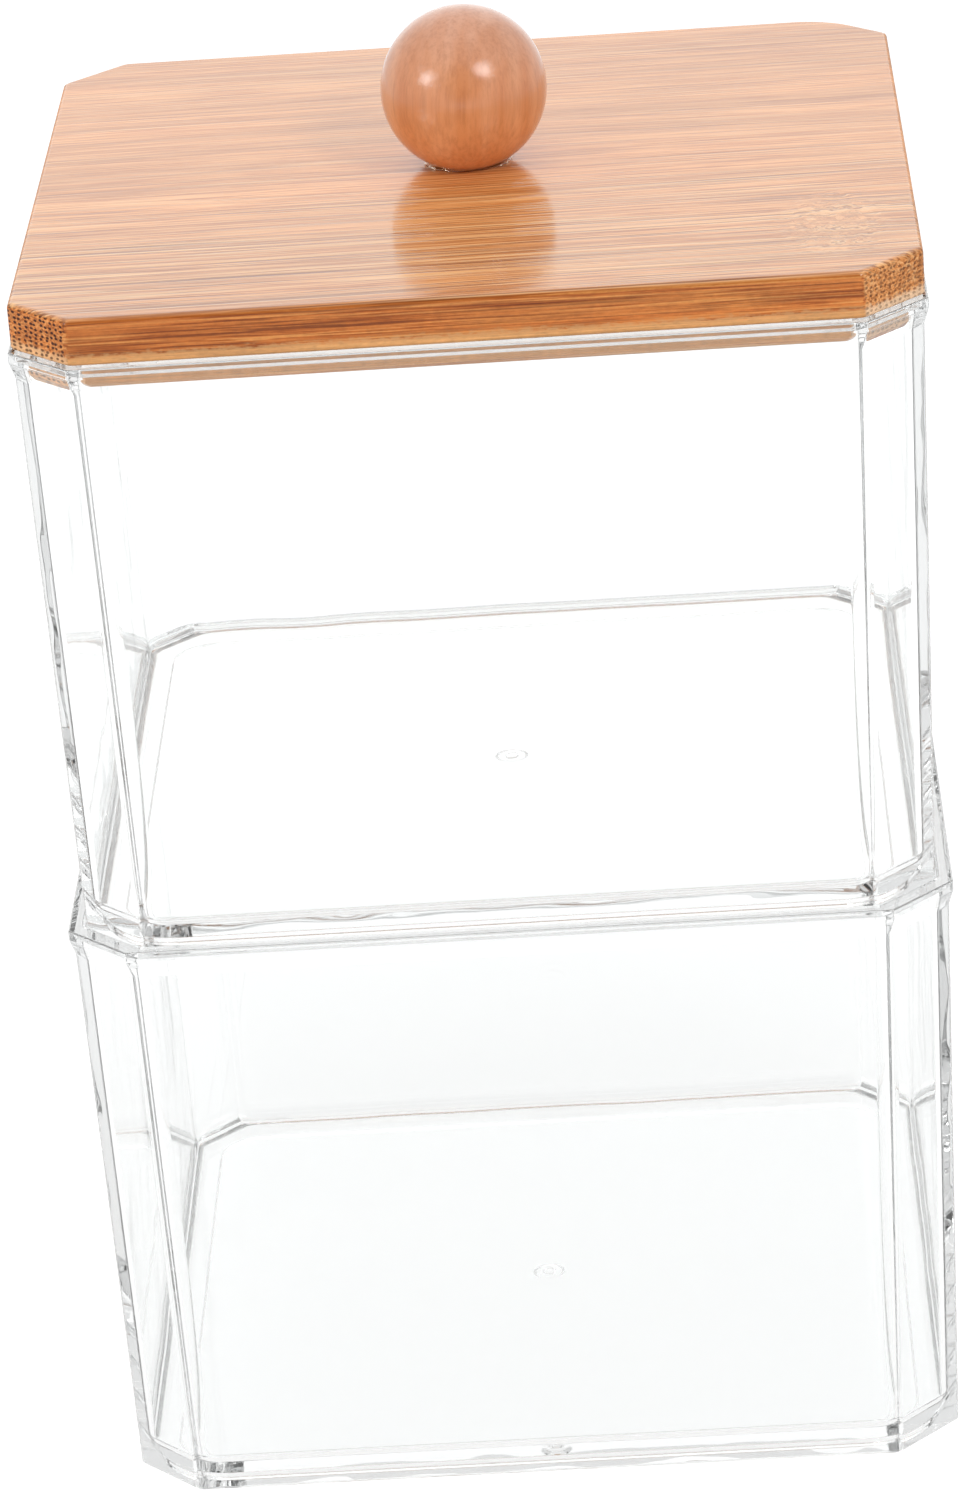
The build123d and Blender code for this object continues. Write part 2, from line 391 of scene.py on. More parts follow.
def soften(stations, steps):
    """Round a profile's corners. Each station is a point and its radius; the rounding is a true arc in the
    upright section, and the cut and edge radius change along with it."""
    points = []
    for i, (here, radius) in enumerate(stations):
        if radius == 0 or i in (0, len(stations) - 1):
            points.append(here)
            continue
        back = stations[i - 1][0] - here
        ahead = stations[i + 1][0] - here
        back_long, ahead_long = hypot(back[0], back[2]), hypot(ahead[0], ahead[2])
        cosine = (back[0] * ahead[0] + back[2] * ahead[2]) / (back_long * ahead_long)
        half_turn = (pi - acos(max(-1, min(1, cosine)))) / 2
        # an arc takes a little less than half of the run on each side, so that two never meet
        reach = min(radius * tan(half_turn), 0.49 * back_long, 0.49 * ahead_long)
        start = here + back * (reach / back_long)
        end = here + ahead * (reach / ahead_long)
        for s in range(steps + 1):
            t = s / steps
            a, b, c = (1 - t) ** 2, 2 * t * (1 - t) * cos(half_turn), t * t
            points.append((start * a + here * b + end * c) / (a + b + c))
    return points


def plain_mesh(obj):
    """The evaluated shape as a plain mesh, with the modifiers gone."""
    depsgraph = bpy.context.evaluated_depsgraph_get()
    made = bpy.data.meshes.new_from_object(obj.evaluated_get(depsgraph), depsgraph=depsgraph)
    obj.modifiers.clear()
    obj.data = made
    return obj


def with_nodes(name, mesh, tree, values):
    """An object whose mesh is what the node tree makes of the given one, as a plain mesh."""
    obj = bpy.data.objects.new(name, mesh)
    bpy.context.scene.collection.objects.link(obj)
    modifier = obj.modifiers.new("Shape", "NODES")
    modifier.node_group = tree
    sockets = {i.name: i.identifier for i in tree.interface.items_tree if i.in_out == "INPUT"}
    for socket, value in values.items():
        modifier[sockets[socket]] = value
    plain_mesh(obj)
    obj.data.name = name
    return obj


def swept(name, points, finish, edge_steps, soft_corner=-1):
    """A closed shell swept from a profile, facing outwards, with its flat faces shaded flat."""
    profile = bpy.data.meshes.new(name + "_profile")
    profile.from_pydata([p.to_3d() for p in points], [(i, i + 1) for i in range(len(points) - 1)], [])
    for attribute, place in (("corner_cut", 3), ("edge_round", 4), ("soft_round", 5)):
        values = profile.attributes.new(attribute, "FLOAT", "POINT")
        values.data.foreach_set("value", [p[place] for p in points])
    tree = bpy.data.node_groups.get("Sweep round cut corners") or sweep_tree()
    obj = with_nodes(
        name, profile, tree,
        {
            "Profile Points": len(points),
            "Edge Steps": edge_steps,
            "Crease Angle": radians(35),
            "Soft Corner": soft_corner,
            "Finish": finish,
        },
    )
    shell = bmesh.new()
    shell.from_mesh(obj.data)
    open_edges = [e for e in shell.edges if not e.is_manifold]
    if open_edges:
        raise RuntimeError(f"{name}: {len(open_edges)} edges of the shell are open")
    if shell.calc_volume(signed=True) < 0:
        bmesh.ops.reverse_faces(shell, faces=shell.faces)
    shell.to_mesh(obj.data)
    shell.free()
    shade = obj.modifiers.new("Flat faces stay flat", "WEIGHTED_NORMAL")
    shade.weight = 100
    shade.keep_sharp = True
    return plain_mesh(obj)


def fitted(piece, body, node):
    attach(piece, body)
    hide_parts(node)


# ---------------------------------------------------------------------------------------------------------
# Materials
# ---------------------------------------------------------------------------------------------------------


def new_material(name):
    material = bpy.data.materials.new(name)
    material.use_nodes = True
    material.node_tree.nodes.clear()
    return material, material.node_tree


def own_millimetres(tree, turned=(0.0, 0.0, 0.0)):
    """The piece's own coordinates in millimetres, turned by these angles."""
    place = add(tree, PLACE).outputs["Object"]
    return add(tree, MAPPING, {"Vector": place, "Rotation": turned, "Scale": (1 / MM, 1 / MM, 1 / MM)})


def stretched_noise(tree, where, per_mm, detail=2.0, rough=0.5):
    """A noise with this many features in each millimetre along X, Y and Z."""
    stretched = add(tree, MAPPING, {"Vector": where, "Scale": per_mm})
    return add(tree, NOISE, {"Vector": stretched, "Scale": 1.0, "Detail": detail, "Roughness": rough})


def laid_over(tree, body, layers):
    """Colours laid over one another, each given by its pattern, where that counts, its most and itself."""
    for pattern, where, most, colour in layers:
        share = add(tree, MATH, {0: pattern, 1: where}, operation="MULTIPLY")
        share = add(tree, MATH, {0: share, 1: most}, operation="MULTIPLY")
        body = add(tree, MIX, {0: share, COLOUR_A: body, COLOUR_B: (*colour, 1)}, data_type="RGBA")
    return body


def lamps_pass_through(tree, surface, tint):
    """Lamps and soft light reach what is inside and behind, as they do through a real clear piece."""
    path = add(tree, RAYS).outputs
    soft = add(tree, MATH, {0: path["Is Shadow Ray"], 1: path["Is Diffuse Ray"]}, operation="MAXIMUM")
    through = add(tree, "ShaderNodeBsdfTransparent", {"Color": (*tint, 1)})
    return add(tree, "ShaderNodeMixShader", {0: soft, 1: surface, 2: through})


def moulded_polystyrene(settings):
    """General-purpose polystyrene, injection moulded in a polished steel mould.

    Bends light strongly and takes a little of it on the way, so walls seen edge on, where light has run
    round inside them, draw pale grey bands and fine lines; the surface is glossy, with the slow, shallow
    waves that the cooling melt leaves.
    """
    material, tree = new_material("Clear polystyrene, injection moulded")
    place = add(tree, PLACE).outputs["Object"]
    # flow waves some 12 mm long and a few hundredths high
    waves = add(tree, NOISE, {"Vector": place, "Scale": 80.0, "Detail": 1.0, "Roughness": 0.4})
    relief = add(tree, BUMP, {"Strength": 1.0, "Distance": 0.04 * MM, "Height": waves})
    plastic = add(
        tree, PRINCIPLED,
        {
            "Base Color": (*settings.plastic, 1),
            "Roughness": 0.0,
            "IOR": 1.59,
            "Transmission Weight": 1.0,
            "Normal": relief,
        },
    )
    shown = lamps_pass_through(tree, plastic, (0.965, 0.968, 0.968))
    # with half grey as its colour, light fades at half the density; red goes a little sooner than the rest
    fades = add(
        tree, "ShaderNodeVolumeAbsorption",
        {"Color": (0.49, 0.5, 0.5, 1), "Density": 2 * settings.absorption},
    )
    add(tree, SURFACE, {"Surface": shown, "Volume": fades})
    return material


def fibre_paths(tree, mm):
    """Coordinates that follow the bamboo's fibres, how near the cane's node is, and the strip's number.

    The fibres wander by about a millimetre over the length of the board, and crinkle round a node of the
    cane near the right front corner. Strips about 21 mm wide are glued side by side, each cut from another
    part of the cane.
    """
    strip_wide, first_strip, shift_per_strip = 20.8, -60.6, 7.3
    node_middle, node_shrink = (38.5, -29.0, 137.8), (0.16, 0.085, 0.1)

    shifts = []
    for per_mm, detail, most in (
        ((0.013, 0.05, 0.05), 1.0, (0.0, 3.2, 1.6)),
        ((0.34, 0.5, 0.5), 3.0, (0.0, 4.6, 2.0)),
    ):
        noise = stretched_noise(tree, mm, per_mm, detail).outputs["Color"]
        centred = add(tree, VECTOR, {0: noise, 1: (0.5, 0.5, 0.5)}, operation="SUBTRACT")
        shifts.append(add(tree, VECTOR, {0: centred, 1: most}, operation="MULTIPLY"))
    wander, crinkle = shifts

    from_node = add(tree, VECTOR, {0: mm, 1: node_middle}, operation="SUBTRACT")
    from_node = add(tree, VECTOR, {0: from_node, 1: node_shrink}, operation="MULTIPLY")
    from_node = add(tree, VECTOR, {0: from_node}, operation="LENGTH")
    at_node = add(
        tree, RANGE, {"Value": from_node, "From Min": 1.15, "From Max": 0.35},
        interpolation_type="SMOOTHSTEP",
    )
    crinkle = add(tree, VECTOR, {0: crinkle, "Scale": at_node}, operation="SCALE")

    y = add(tree, SPLIT, {0: mm}).outputs["Y"]
    strip = add(tree, MATH, {0: y, 1: first_strip}, operation="SUBTRACT")
    strip = add(tree, MATH, {0: strip, 1: strip_wide}, operation="DIVIDE")
    strip = add(tree, MATH, {0: strip}, operation="FLOOR")
    shift = add(tree, MATH, {0: strip, 1: shift_per_strip}, operation="MULTIPLY")

    along = mm
    for move in (wander, crinkle, add(tree, JOIN, {2: shift})):
        along = add(tree, VECTOR, {0: along, 1: move}, operation="ADD")
    return along, at_node, strip


def lacquered_bamboo(settings):
    """Steam-carbonised bamboo strip board, planed, sanded and sprayed with clear gloss lacquer.

    Long parallel fibres along X. There are fine dark grooves with pale ridges beside them, and the ridges'
    paleness is a painted highlight. Dark vascular bundles show as dots where the corners are cut. The wood
    is browner on the edges, which also drank much of the lacquer and so are less glossy, with a ragged dark
    arris that is partly painted shade. A clear coat mirrors the room at a low angle.
    """
    material, tree = new_material("Carbonised bamboo, sanded and lacquered")
    mm = own_millimetres(tree)
    x, y, z = add(tree, SPLIT, {0: mm}).outputs
    facing = add(tree, SPLIT, {0: add(tree, PLACE).outputs["Normal"]}).outputs
    up, end_on = [add(tree, MATH, {0: facing[axis]}, operation="ABSOLUTE") for axis in ("Z", "X")]
    along, at_node, strip = fibre_paths(tree, mm)
    strip_tone = add(tree, "ShaderNodeTexWhiteNoise", {"W": strip}, noise_dimensions="1D")
    cloud = stretched_noise(tree, mm, (0.03, 0.06, 0.06))
    # hairs a quarter of a millimetre apart and a centimetre long, threads a third of a millimetre apart and
    # several centimetres long, bands 3 mm apart, blotches a millimetre long and less than half as high, the
    # places of the fine grooves, and where those show at all
    hair, thread, band, blotch, slow, shows = [
        stretched_noise(tree, along, *noise)
        for noise in (
            ((0.09, 4.2, 4.2), 3.0, 0.7),
            ((0.014, 3.2, 3.2), 2.0, 0.6),
            ((0.012, 0.3, 0.3), 2.0, 0.5),
            ((1.0, 2.6, 2.6), 3.0, 0.65),
            ((0.006, 1.0, 1.0), 1.0, 0.5),
            ((0.05, 0.5, 0.5), 1.0, 0.5),
        )
    ]
    # grooves run along one level of the slow noise and ridges along another, a little frayed by the hairs
    slow = add(tree, MATH, {0: hair, 1: 0.05, 2: slow}, operation="MULTIPLY_ADD")
    sides = [add(tree, MATH, {0: slow, 1: level}, operation="SUBTRACT") for level in (0.47, 0.53)]
    from_groove, from_ridge = [add(tree, MATH, {0: side}, operation="ABSOLUTE") for side in sides]
    # vascular bundles half a millimetre apart, and a height that the blotches make ragged
    section = add(tree, SPLIT, {0: along}).outputs
    section = add(tree, JOIN, {0: section["Y"], 1: section["Z"]})
    cells = add(
        tree, "ShaderNodeTexVoronoi", {"Vector": section, "Scale": 1.9, "Randomness": 0.45},
        voronoi_dimensions="2D",
    )
    from_bundle = add(tree, MATH, {0: blotch, 1: 0.3, 2: cells}, operation="MULTIPLY_ADD")
    ragged = add(tree, MATH, {0: blotch, 1: 0.5}, operation="SUBTRACT")
    ragged = add(tree, MATH, {0: ragged, 1: 1.6, 2: z}, operation="MULTIPLY_ADD")

    # each pattern shows from the first value of its source on, and fully at the second
    show = {}
    for name, source, none_at, all_at in (
        ("upright", up, 0.85, 0.45),
        ("across", end_on, 0.3, 0.6),
        ("front", y, 8.0, -24.0),
        ("right", x, -30.0, 30.0),
        ("high", z, 133.0, 135.5),
        ("arris", ragged, 137.1, 137.6),
        ("low band", ragged, 134.2, 133.5),
        ("lines", shows, 0.34, 0.52),
        ("groove", from_groove, 0.058, 0.012),
        ("ridge_and_painted_highlight", from_ridge, 0.058, 0.012),
        ("dot", from_bundle, 0.5, 0.38),
        ("pale hair", hair, 0.36, 0.64),
        ("dark hair", hair, 0.5, 0.34),
        ("dark band", band, 0.62, 0.36),
        ("dark thread", thread, 0.47, 0.37),
        ("pale thread", thread, 0.55, 0.66),
    ):
        feeds = {"Value": source, "From Min": none_at, "From Max": all_at}
        show[name] = add(tree, RANGE, feeds, interpolation_type="SMOOTHSTEP")
    upright, across = show["upright"], show["across"]
    groove, ridge_and_painted_highlight, dots = [
        add(tree, MATH, {0: show[pattern], 1: show[where]}, operation="MULTIPLY")
        for pattern, where in (("groove", "lines"), ("ridge_and_painted_highlight", "lines"), ("dot", "across"))
    ]
    # the front strips were cut nearer the skin of the cane, where the lines are dark and close
    strength = add(tree, MATH, {0: show["front"], 1: 0.58, 2: 0.42}, operation="MULTIPLY_ADD")
    strength = add(tree, MATH, {0: strength, 1: upright}, operation="MAXIMUM")
    # front and rear edges have more threads and shallower grooves than the top, the cut corners few threads
    lined = add(tree, MATH, {0: upright, 1: across}, operation="SUBTRACT")
    lined = add(tree, MATH, {0: lined, 1: 0.25, 2: 0.55}, operation="MULTIPLY_ADD")
    lined = add(tree, MATH, {0: lined, 1: strength}, operation="MULTIPLY")
    depth = add(tree, MATH, {0: upright, 1: -0.35, 2: 0.65}, operation="MULTIPLY_ADD")
    depth = add(tree, MATH, {0: depth, 1: strength}, operation="MULTIPLY")

    face = laid_over(
        tree, (*settings.wood, 1),
        (
            (show["pale hair"], 1.0, 1.0, settings.fibre),
            (show["dark band"], 1.0, 0.35, linear("#9A5B29")),
            (show["dark hair"], strength, 0.4, settings.bundle),
            (show["dark thread"], lined, 1.0, linear("#7A431C")),
            (show["pale thread"], lined, 0.8, linear("#F5C68C")),
            (groove, depth, 1.0, settings.bundle),
            # the pale colour along each ridge is a painted highlight, laid over the one that the bump gives
            (ridge_and_painted_highlight, depth, 0.7, linear("#F5C68C")),
            (at_node, 1.0, 0.16, linear("#DCAA74")),
        ),
    )
    # the edges: browner, with a ragged dark arris on top, which is partly dark fibre and partly painted
    # shade, a paler band below, and dots where the fibres end
    edge = add(tree, VECTOR, {0: face, 1: (0.8, 0.56, 0.33)}, operation="MULTIPLY")
    not_across = add(tree, MATH, {0: 1.0, 1: across}, operation="SUBTRACT")
    edge = laid_over(
        tree, edge,
        (
            # the arris band is partly painted shade along the top of the edges
            (show["arris"], not_across, 0.45, linear("#7A4019")),
            (show["low band"], 1.0, 0.6, linear("#E0AC72")),
        ),
    )
    # the cut corners are paler and greyer than the other edges. The right one is paler still, and that
    # extra is painted light, standing in for how light falls on that corner
    left_tone, right_tone_with_painted_light, plain_tone = (1.28, 1.46, 1.9, 1), (1.25, 1.72, 2.9, 1), (1.0, 1.0, 1.0, 1)
    end_tone = add(
        tree, MIX, {0: show["right"], COLOUR_A: left_tone, COLOUR_B: right_tone_with_painted_light}, data_type="RGBA"
    )
    end_tone = add(tree, MIX, {0: across, COLOUR_A: plain_tone, COLOUR_B: end_tone}, data_type="RGBA")
    edge = add(tree, VECTOR, {0: edge, 1: end_tone}, operation="MULTIPLY")
    patches = add(tree, MATH, {0: blotch, 1: 0.7, 2: 0.65}, operation="MULTIPLY_ADD")
    edge = add(tree, VECTOR, {0: edge, "Scale": patches}, operation="SCALE")
    # the dots are darker high up and at the left
    dark_high = add(tree, MATH, {0: show["high"], 1: 0.25, 2: 0.75}, operation="MULTIPLY_ADD")
    dark_left = add(tree, MATH, {0: show["right"], 1: -0.4, 2: 1.0}, operation="MULTIPLY_ADD")
    dark = add(tree, MATH, {0: dark_high, 1: dark_left}, operation="MULTIPLY")
    edge = laid_over(tree, edge, ((dots, dark, 1.0, linear("#421A04")),))
    body = add(tree, MIX, {0: upright, COLOUR_A: face, COLOUR_B: edge}, data_type="RGBA")
    tone = add(tree, MATH, {0: cloud, 1: 0.3, 2: 0.83}, operation="MULTIPLY_ADD")
    tone = add(tree, MATH, {0: strip_tone, 1: 0.08, 2: tone}, operation="MULTIPLY_ADD")
    body = add(tree, VECTOR, {0: body, "Scale": tone}, operation="SCALE")

    # grooves and pits a few hundredths of a millimetre deep, which the lacquer half fills
    hollow = add(tree, MATH, {0: dots, 1: 0.3, 2: groove}, operation="MULTIPLY_ADD")
    raised = add(tree, MATH, {0: ridge_and_painted_highlight, 1: 0.5}, operation="MULTIPLY")
    height = add(tree, MATH, {0: raised, 1: hollow}, operation="SUBTRACT")
    height = add(tree, MATH, {0: height, 1: strength}, operation="MULTIPLY")
    height = add(tree, MATH, {0: hair, 1: 0.6, 2: height}, operation="MULTIPLY_ADD")
    relief = add(tree, BUMP, {"Strength": 0.6, "Distance": 0.05 * MM, "Height": height})
    skin = add(tree, BUMP, {"Strength": 0.35, "Distance": 0.04 * MM, "Height": height})
    # the edges drank more than half of the lacquer, and the cut corners, where the fibres end, most of it
    by_corners = add(tree, MATH, {0: across, 1: 0.85}, operation="MULTIPLY")
    by_edges = add(tree, MATH, {0: upright, 1: 0.6}, operation="MULTIPLY")
    drunk = add(tree, MATH, {0: by_corners, 1: by_edges}, operation="MAXIMUM")
    coat = add(tree, MATH, {0: 1.0, 1: drunk}, operation="SUBTRACT")
    wood = add(
        tree, PRINCIPLED,
        {
            "Base Color": body,
            "Roughness": 0.45,
            "IOR": 1.5,
            "Specular IOR Level": 0.1,
            "Coat Weight": coat,
            "Coat Roughness": 0.05,
            "Coat IOR": 1.5,
            "Normal": relief,
            "Coat Normal": skin,
        },
    )
    add(tree, SURFACE, {"Surface": wood})
    return material


def lacquered_ball_wood(settings):
    """Fine-grained hardwood, turned on a lathe with its grain upright, sanded and lacquered.

    Warm colour with faint upright lines. It is tinted greyer towards the top as a painted sheen of the
    bright room above, and paler towards the foot as painted light bounced up from the floor. The lacquer
    has a fine orange peel, which breaks the soft boxes' two highlights into specks.
    """
    material, tree = new_material("Hardwood, turned and lacquered")
    mm = own_millimetres(tree, turned=(radians(3), radians(-4), 0))
    # growth bands 2 mm apart and vessel lines half a millimetre apart, both upright, and fine pores
    bands, lines, pores = [
        stretched_noise(tree, mm, *noise)
        for noise in (
            ((0.55, 0.22, 0.018), 2.0, 0.5),
            ((2.2, 2.2, 0.03), 3.0, 0.65),
            ((5.5, 5.5, 4.0), 2.0, 0.6),
        )
    ]
    z = add(tree, SPLIT, {0: mm}).outputs["Z"]
    show = {}
    for name, source, none_at, all_at, kind in (
        ("band", bands, 0.35, 0.65, "LINEAR"),
        ("line", lines, 0.42, 0.72, "LINEAR"),
        ("foot", z, 147.0, 139.0, "SMOOTHSTEP"),
        ("top", z, 146.5, 153.0, "SMOOTHSTEP"),
    ):
        feeds = {"Value": source, "From Min": none_at, "From Max": all_at}
        show[name] = add(tree, RANGE, feeds, interpolation_type=kind)
    body = laid_over(
        tree, (*settings.wood, 1),
        (
            (show["band"], 1.0, 0.75, linear("#DE9E70")),
            (show["line"], 1.0, 0.34, settings.vessel),
        ),
    )
    # painted light: the greyer, bluer top is a painted sheen of the bright room above, and the paler foot
    # is painted light bounced up from the floor
    tint = laid_over(
        tree, (0.96, 0.93, 0.92, 1),
        (
            (show["foot"], 1.0, 1.0, (1.2, 1.24, 1.3)),
            (show["top"], 1.0, 1.0, (0.84, 0.9, 1.16)),
        ),
    )
    body = add(tree, VECTOR, {0: body, 1: tint}, operation="MULTIPLY")
    height = add(tree, MATH, {0: pores, 1: lines}, operation="ADD")
    relief = add(tree, BUMP, {"Strength": 0.3, "Distance": 0.03 * MM, "Height": height})
    skin = add(tree, BUMP, {"Strength": 0.6, "Distance": 0.05 * MM, "Height": pores})
    wood = add(
        tree, PRINCIPLED,
        {
            "Base Color": body,
            "Roughness": 0.5,
            "IOR": 1.5,
            "Specular IOR Level": 0.35,
            "Coat Weight": 1.0,
            "Coat Roughness": 0.06,
            "Coat IOR": 1.5,
            "Normal": relief,
            "Coat Normal": skin,
        },
    )
    add(tree, SURFACE, {"Surface": wood})
    return material


def cured_glue():
    """Clear glue, squeezed out and cured: glossy, so its lumps sparkle and bend what is under them."""
    material, tree = new_material("Clear glue, cured")
    glue = add(
        tree, PRINCIPLED,
        {
            "Base Color": (*linear("#F7E6D0"), 1),
            "Roughness": 0.02,
            "IOR": 1.48,
            "Transmission Weight": 1.0,
        },
    )
    add(tree, SURFACE, {"Surface": lamps_pass_through(tree, glue, (0.93, 0.92, 0.9))})
    return material


def zinc_plate():
    """Steel screw, cold headed and zinc plated: bright, slightly blue, with the plating's fine grain."""
    material, tree = new_material("Steel, zinc plated")
    place = add(tree, PLACE).outputs["Object"]
    # crystals 0.4 mm across, coarser than real ones, so that they show
    grain = add(tree, NOISE, {"Vector": place, "Scale": 2500.0, "Detail": 2.0})
    roughness = add(tree, RANGE, {"Value": grain, "To Min": 0.22, "To Max": 0.4})
    metal = add(
        tree, PRINCIPLED, {"Base Color": (*linear("#C9CDD1"), 1), "Metallic": 1.0, "Roughness": roughness}
    )
    add(tree, SURFACE, {"Surface": metal})
    return material


def studio_floor():
    """Matt white floor. It shows as plain white to the camera. In reflections and through clear plastic it
    is white too, but darker far out at the sides and with a painted shadow right under the boxes. It throws
    soft light up at what stands on it, and keeps the object's soft shadow."""
    # what it gives by itself, besides the lamps' light on it: where it is seen, where it is seen far out at
    # the sides, in the painted shadow under the boxes, and as light on the object
    white, far_white, painted_shadow_white, bounce = 0.7, 0.5, 0.57, 0.34
    material, tree = new_material("Studio floor, matt white")
    path = add(tree, RAYS).outputs
    seen = add(tree, MATH, {0: path["Is Camera Ray"], 1: path["Is Glossy Ray"]}, operation="MAXIMUM")
    seen = add(tree, MATH, {0: seen, 1: path["Is Transmission Ray"]}, operation="MAXIMUM")
    bounced = add(tree, MATH, {0: path["Is Diffuse Ray"], 1: bounce}, operation="MULTIPLY")
    # darker far out at the sides, which only bends in the clear plastic show, and a painted shadow right
    # under the boxes
    place = add(tree, PLACE).outputs["Object"]
    aside = add(tree, MATH, {0: add(tree, SPLIT, {0: place})}, operation="ABSOLUTE")
    reach = add(tree, VECTOR, {0: place}, operation="LENGTH")
    sides, under = [
        add(
            tree, RANGE,
            {"Value": away, "From Min": near, "From Max": far, "To Min": first, "To Max": last},
            interpolation_type="SMOOTHSTEP",
        )
        for away, near, far, first, last in (
            (aside, 0.25, 0.9, white, far_white),
            (reach, 0.05, 0.17, painted_shadow_white, white),
        )
    ]
    bent = add(tree, MATH, {0: sides, 1: under}, operation="MINIMUM")
    shown = add(tree, MIX, {0: path["Is Camera Ray"], NUMBER_A: bent, NUMBER_B: white}, data_type="FLOAT")
    lift = add(tree, MATH, {0: seen, 1: shown, 2: bounced}, operation="MULTIPLY_ADD")
    matt = add(tree, "ShaderNodeBsdfDiffuse", {"Color": (0.42, 0.42, 0.42, 1)})
    glow = add(tree, "ShaderNodeEmission", {"Strength": lift})
    add(tree, SURFACE, {"Surface": add(tree, "ShaderNodeAddShader", {0: matt, 1: glow})})
    return material


# ---------------------------------------------------------------------------------------------------------
# Operators
# ---------------------------------------------------------------------------------------------------------


def box_profile(s, base):
    """The closed profile of one box, from the middle of its underside round to the middle of its floor."""
    half_x, half_y, lean = s.rim_width / 2, s.rim_depth / 2, tan(s.draft)
    # how far the profile's corners are rounded
    crisp, gate_edge, hollow_edge, foot_edge = 0.12 * MM, 0.1 * MM, 0.15 * MM, 0.25 * MM
    rim_edge, lip_edge, taper_fade = 0.2 * MM, 0.5 * MM, 1.2 * MM
    dish_slope = radians(30)

    def outline(inset, z, cut, edge):
        return profile_point(half_x - inset, half_y - inset, base + z, cut, edge)

    def middle(radius, z):
        return circle_point(radius, base + z)

    def outside(z):
        return s.lip_out + (s.tall - z) * lean

    foot_in = outside(0)
    foot_side = s.base_cut
    recess_in = foot_in + s.recess_border
    recess_cut = ROUND_CUT * s.recess_corner
    inner_cut = s.corner_cut - ROUND_CUT * s.wall
    seat_in = foot_in - s.seat_fit
    seat_cut = s.corner_cut - ROUND_CUT * s.seat_fit
    seat_z = s.tall - s.seat_depth
    lip_top = s.tall - s.lip_tall
    taper_foot = lip_top - s.lip_taper
    dish_z = s.recess_deep + s.dimple_deep
    gate_z = dish_z - s.gate_tall
    gate, dish = s.gate / 2, s.dimple / 2
    return [
        (middle(0, gate_z), 0),
        (middle(gate, gate_z), gate_edge),
        (middle(gate, dish_z), gate_edge),
        (middle(dish - s.dimple_deep * tan(dish_slope), dish_z), hollow_edge),
        (middle(dish, s.recess_deep), hollow_edge),
        (outline(recess_in, s.recess_deep, recess_cut, s.recess_corner), hollow_edge),
        (outline(recess_in, 0, recess_cut, s.recess_corner), hollow_edge),
        (outline(foot_in + s.base_cut, 0, s.corner_cut, s.outer_round), crisp),
        (outline(outside(foot_side), foot_side, s.corner_cut, s.outer_round), foot_edge),
        (outline(outside(taper_foot), taper_foot, s.corner_cut, s.outer_round), taper_fade),
        (outline(0, lip_top, s.corner_cut, lip_edge), lip_edge),
        (outline(0, s.tall, s.corner_cut, lip_edge), rim_edge),
        (outline(seat_in, s.tall, seat_cut, lip_edge), crisp),
        (outline(seat_in, seat_z, seat_cut, lip_edge), crisp),
        (outline(outside(seat_z) + s.wall, seat_z, inner_cut, s.inner_round), crisp),
        (
            outline(outside(s.floor_thick) + s.wall, s.floor_thick, inner_cut, s.inner_low_round),
            s.floor_round,
        ),
        (middle(0, s.floor_thick), 0),
    ]


class PADHOLDER_OT_clear_boxes(bpy.types.Operator):
    """Make the two clear boxes, one standing in the mouth of the other"""

    bl_idname = "padholder.clear_boxes"
    bl_label = "Clear boxes"

    def execute(self, context):
        sizes = context.scene.pad_holder_boxes
        finish = moulded_polystyrene(sizes)
        for name, body, node, gap in (
            ("clear_box_lower", "base", "lower_box", 0.0),
            ("clear_box_upper", "upper", "upper_box", SEAT_GAP),
        ):
            points = soften(box_profile(sizes, low(node, 2) + gap), steps=5)
            # the rim stays a hair under what rests on it
            top = high(node, 2) - SEAT_GAP
            for p in points:
                p[2] = min(p[2], top)
            box = swept(name, points, finish, edge_steps=7)
            fitted(box, body, node)
        return {"FINISHED"}


class PADHOLDER_OT_bamboo_lid(bpy.types.Operator):
    """Make the bamboo board with the step that drops into the upper box"""

    bl_idname = "padholder.bamboo_lid"
    bl_label = "Bamboo lid"

    def execute(self, context):
        s, boxes = context.scene.pad_holder_lid, context.scene.pad_holder_boxes
        under, top, step = high("upper_box", 2), high("lid_board", 2), low("lid_board", 2)
        plug_x, plug_y = boxes.rim_width / 2 - s.plug_in, boxes.rim_depth / 2 - s.plug_in
        plug_cut = boxes.corner_cut - ROUND_CUT * (s.plug_in - boxes.lip_out)
        plug_corner, crisp, sanded = 0.6 * MM, 0.1 * MM, 0.2 * MM
        hole, head = s.hole / 2, s.head_hole / 2
        head_z = step + 0.4 * MM  # the screw's head lies this deep in the step's face

        def board(z):
            return profile_point(s.half_x, s.half_y, z, s.board_cut, s.edge_round, s.soft_round)

        def plug(z, inset=0.0):
            return profile_point(plug_x - inset, plug_y - inset, z, plug_cut, plug_corner)

        profile = [
            (circle_point(hole, top), 0),
            (board(top), s.top_round),
            (board(under + SEAT_GAP), s.low_round),
            (plug(under + SEAT_GAP), crisp),
            (plug(step + s.plug_edge), sanded),
            (plug(step, s.plug_edge), sanded),
            (circle_point(head, step), crisp),
            (circle_point(head, head_z), 0),
            (circle_point(hole, head_z + head - hole), 0),
            (circle_point(hole, top), 0),
        ]
        # upright edges are counted from the right side towards the rear, from 0 on; the soft one is edge 1
        points = soften(profile, steps=6)
        lid = swept("bamboo_board", points, lacquered_bamboo(s), edge_steps=10, soft_corner=1)
        fitted(lid, "lid", "lid_board")
        return {"FINISHED"}


